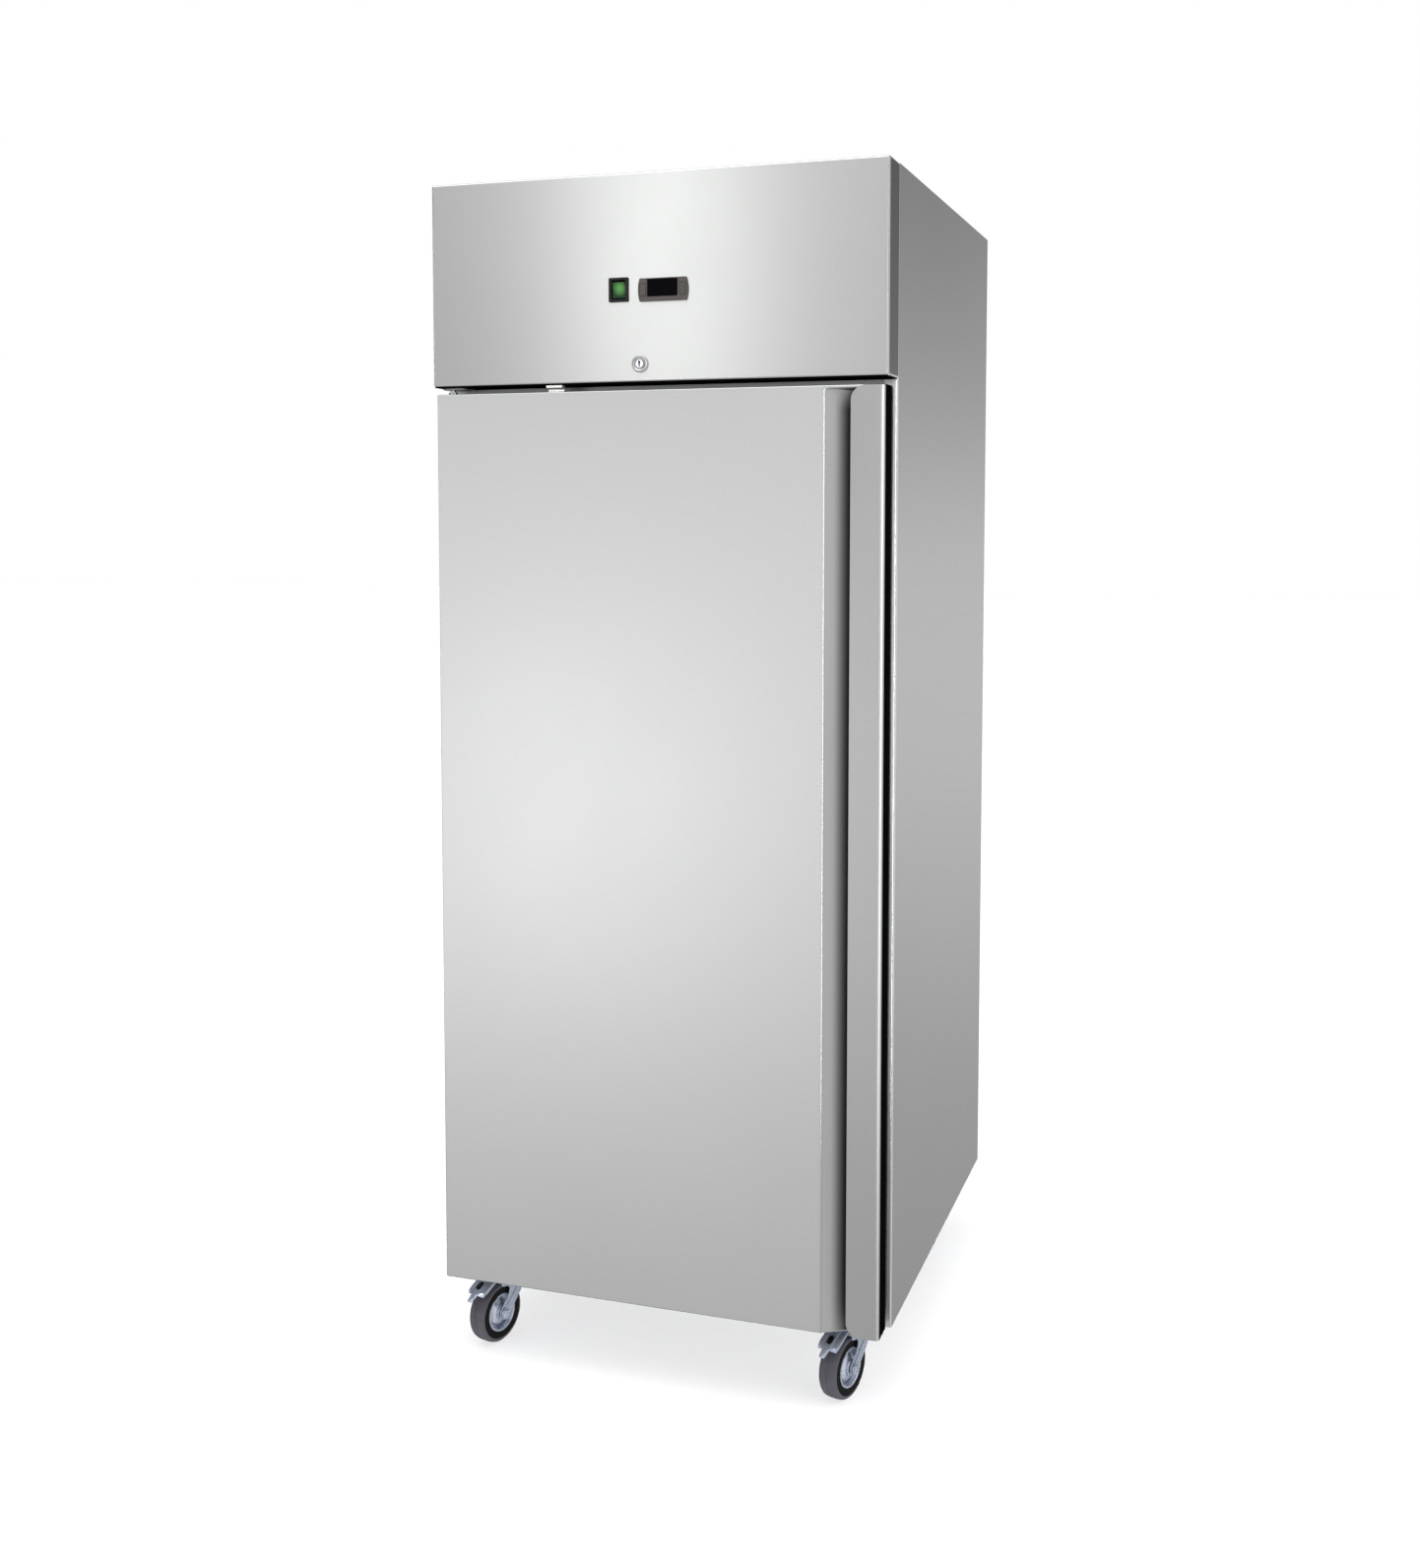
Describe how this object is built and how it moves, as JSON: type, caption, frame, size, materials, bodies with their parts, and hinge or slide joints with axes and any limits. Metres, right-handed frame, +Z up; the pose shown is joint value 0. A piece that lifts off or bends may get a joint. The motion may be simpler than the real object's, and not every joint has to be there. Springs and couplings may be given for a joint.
{
  "type": "reach in refrigerator",
  "caption": "upright stainless steel reach-in refrigerator with a solid left-hinged door, full-height recessed grip, control panel above and swivel casters",
  "frame": {"origin": "the middle of the footprint, on the floor under the wheels", "axes": "+Z up, the door faces -Y, +X is to the right of someone facing the door"},
  "size_m": [0.74, 0.83, 1.9],
  "materials": {
    "stainless_brushed": "satin",
    "stainless_inner": "satin",
    "galvanized": "satin",
    "zinc": "satin",
    "chrome": "polished",
    "foam": "matte",
    "black_plastic": "satin",
    "grey_plastic": "satin",
    "white_plastic": "satin",
    "dark_window": "gloss",
    "green_lens": "gloss",
    "gasket_rubber": "matte",
    "wheel_rubber": "matte",
    "black_paint": "satin",
    "coated_wire": "satin",
    "aluminium": "satin"
  },
  "bodies": {
    "cabinet": {"side_panel_left": "stainless_brushed", "side_panel_right": "stainless_brushed", "back_panel": "galvanized", "base_panel": "galvanized", "machine_deck": "galvanized", "insulation_foam": "foam", "inner_liner": "stainless_inner", "head_panel": "stainless_brushed", "shelf_rack_left": "stainless_inner", "shelf_rack_right": "stainless_inner", "evaporator_cover": "stainless_inner", "evaporator_coil": "aluminium", "evaporator_fan_motor": "black_paint", "interior_lamp": "white_plastic", "compressor": "black_paint", "condenser_coil": "aluminium", "condenser_fan_motor": "black_paint", "power_switch_housing": "black_plastic", "controller_housing": "grey_plastic", "controller_display": "dark_window", "lock_barrel": "chrome", "hinge_bracket_top": "zinc", "hinge_bracket_bottom": "zinc", "door_sensor_switch": "white_plastic", "wire_shelf_1": "coated_wire", "shelf_runner_left_1": "stainless_inner", "shelf_runner_right_1": "stainless_inner", "wire_shelf_2": "coated_wire", "shelf_runner_left_2": "stainless_inner", "shelf_runner_right_2": "stainless_inner", "wire_shelf_3": "coated_wire", "shelf_runner_left_3": "stainless_inner", "shelf_runner_right_3": "stainless_inner", "caster_plate_front_left": "zinc", "caster_plate_front_right": "zinc", "caster_plate_rear_left": "zinc", "caster_plate_rear_right": "zinc"},
    "door": {"door_skin": "stainless_brushed", "door_handle": "stainless_brushed", "door_foam": "foam", "door_edge_frame": "black_plastic", "door_inner_panel": "stainless_inner", "door_gasket": "gasket_rubber", "door_sensor_magnet": "white_plastic"},
    "switch_rocker": {"power_switch_rocker": "green_lens"},
    "lock_plug": {"lock_plug": "chrome"},
    "key_left": {"controller_key_left": "grey_plastic"},
    "key_right": {"controller_key_right": "grey_plastic"},
    "evaporator_fan": {"evaporator_fan": "black_plastic"},
    "condenser_fan": {"condenser_fan": "aluminium"},
    "swivel_front_left": {"caster_fork_front_left": "zinc"},
    "wheel_front_left": {"caster_wheel_front_left": "wheel_rubber"},
    "swivel_front_right": {"caster_fork_front_right": "zinc"},
    "wheel_front_right": {"caster_wheel_front_right": "wheel_rubber"},
    "swivel_rear_left": {"caster_fork_rear_left": "zinc"},
    "wheel_rear_left": {"caster_wheel_rear_left": "wheel_rubber"},
    "swivel_rear_right": {"caster_fork_rear_right": "zinc"},
    "wheel_rear_right": {"caster_wheel_rear_right": "wheel_rubber"},
    "brake_front_left": {"caster_brake_front_left": "zinc"},
    "brake_front_right": {"caster_brake_front_right": "zinc"}
  },
  "joints": [
    {"name": "door_hinge", "type": "hinge", "parent": "cabinet", "child": "door", "pos_m": [-0.35, -0.38, 0.85], "axis": [0, 0, -1], "range_deg": [0, 105], "stiffness_Nm_per_rad": 2, "springref_deg": -34.38},
    {"name": "lock_turn", "type": "hinge", "parent": "cabinet", "child": "lock_plug", "pos_m": [-0.018, -0.41, 1.611], "axis": [0, 1, 0], "range_deg": [0, 90]},
    {"name": "power_rocker", "type": "hinge", "parent": "cabinet", "child": "switch_rocker", "pos_m": [-0.0525, -0.406, 1.724], "axis": [-1, 0, 0], "range_deg": [0, 14]},
    {"name": "key_left_press", "type": "slide", "parent": "cabinet", "child": "key_left", "axis": [0, 1, 0], "range_m": [0, 0.0008], "stiffness_N_per_m": 400},
    {"name": "key_right_press", "type": "slide", "parent": "cabinet", "child": "key_right", "axis": [0, 1, 0], "range_m": [0, 0.0008], "stiffness_N_per_m": 400},
    {"name": "evaporator_fan_spin", "type": "hinge", "parent": "cabinet", "child": "evaporator_fan", "pos_m": [0, 0.046, 1.454], "axis": [0, 1, 0], "continuous": true},
    {"name": "condenser_fan_spin", "type": "hinge", "parent": "cabinet", "child": "condenser_fan", "pos_m": [0.16, -0.024, 1.722], "axis": [0, 1, 0], "continuous": true},
    {"name": "swivel_front_left_turn", "type": "hinge", "parent": "cabinet", "child": "swivel_front_left", "pos_m": [-0.3, -0.31, 0.118], "axis": [0, 0, 1], "continuous": true},
    {"name": "wheel_front_left_roll", "type": "hinge", "parent": "swivel_front_left", "child": "wheel_front_left", "pos_m": [-0.3091, -0.34172, 0.05], "axis": [0.9613, -0.2756, 0], "continuous": true},
    {"name": "swivel_front_right_turn", "type": "hinge", "parent": "cabinet", "child": "swivel_front_right", "pos_m": [0.3, -0.31, 0.118], "axis": [0, 0, 1], "continuous": true},
    {"name": "wheel_front_right_roll", "type": "hinge", "parent": "swivel_front_right", "child": "wheel_front_right", "pos_m": [0.2909, -0.34172, 0.05], "axis": [0.9613, -0.2756, 0], "continuous": true},
    {"name": "swivel_rear_left_turn", "type": "hinge", "parent": "cabinet", "child": "swivel_rear_left", "pos_m": [-0.3, 0.287, 0.118], "axis": [0, 0, 1], "continuous": true},
    {"name": "wheel_rear_left_roll", "type": "hinge", "parent": "swivel_rear_left", "child": "wheel_rear_left", "pos_m": [-0.3091, 0.25528, 0.05], "axis": [0.9613, -0.2756, 0], "continuous": true},
    {"name": "swivel_rear_right_turn", "type": "hinge", "parent": "cabinet", "child": "swivel_rear_right", "pos_m": [0.3, 0.287, 0.118], "axis": [0, 0, 1], "continuous": true},
    {"name": "wheel_rear_right_roll", "type": "hinge", "parent": "swivel_rear_right", "child": "wheel_rear_right", "pos_m": [0.2909, 0.25528, 0.05], "axis": [0.9613, -0.2756, 0], "continuous": true},
    {"name": "brake_front_left_press", "type": "hinge", "parent": "swivel_front_left", "child": "brake_front_left", "pos_m": [-0.30937, -0.34268, 0.108], "axis": [0.9613, -0.2756, 0], "range_deg": [0, 10]},
    {"name": "brake_front_right_press", "type": "hinge", "parent": "swivel_front_right", "child": "brake_front_right", "pos_m": [0.29063, -0.34268, 0.108], "axis": [0.9613, -0.2756, 0], "range_deg": [0, 10]}
  ]
}
